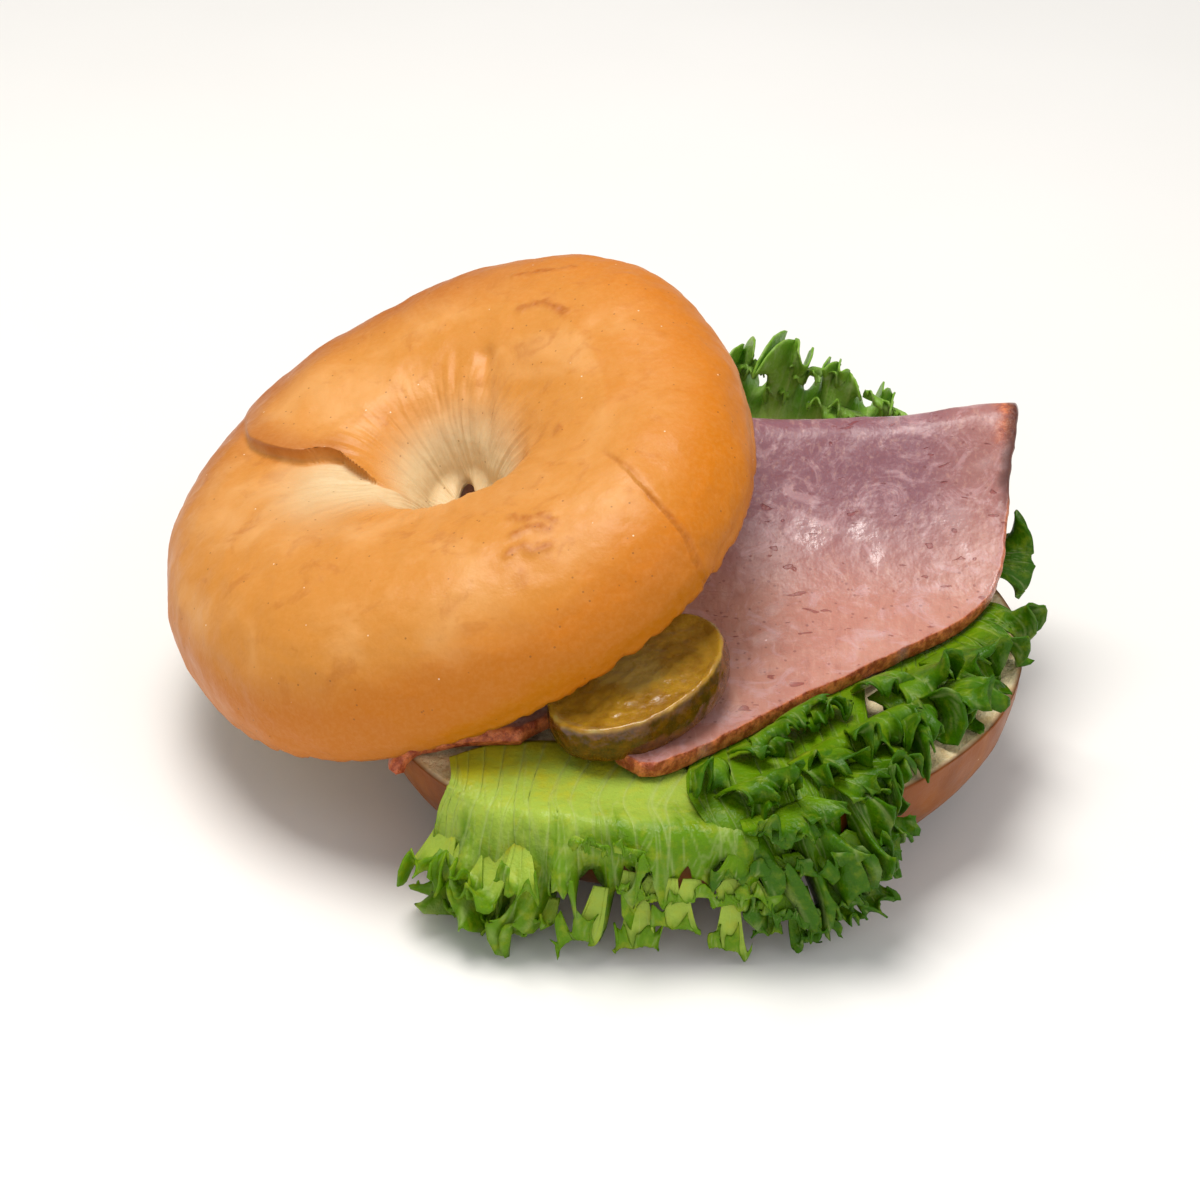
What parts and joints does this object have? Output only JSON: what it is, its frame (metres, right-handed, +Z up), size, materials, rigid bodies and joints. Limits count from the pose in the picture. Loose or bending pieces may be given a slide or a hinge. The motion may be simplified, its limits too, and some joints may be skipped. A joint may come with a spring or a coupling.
{
  "type": "filled bagel sandwich",
  "caption": "Cut bagel with its top half leaning back off folded roast meat slices, a pickle slice and frilled lettuce.",
  "frame": {"origin": "centre of the object's box at the height it rests on", "axes": "+Z up, +X to the viewer's right across the sandwich, +Y away from the viewer"},
  "size_m": [0.1585, 0.135, 0.0725],
  "materials": {
    "bottom_crust": "baked crust, satin",
    "top_crust": "baked crust, satin",
    "roast_meat": "moist cut meat",
    "roast_meat_left": "moist cut meat",
    "pickle": "wet, translucent",
    "pale_leaf": "fresh leaf, satin",
    "frill_leaf": "fresh leaf, satin",
    "right_leaf": "fresh leaf, satin",
    "tip_leaf": "fresh leaf, satin",
    "back_leaf": "fresh leaf, satin"
  },
  "bodies": {
    "root": {"bagel_bottom": "bottom_crust", "bagel_top": "top_crust", "roast_slice": "roast_meat", "roast_slice_left": "roast_meat_left", "pickle_slice": "pickle", "lettuce_front": "pale_leaf", "lettuce_frill": "frill_leaf", "lettuce_right": "right_leaf", "lettuce_right_tip": "tip_leaf", "lettuce_back": "back_leaf"}
  },
  "joints": []
}
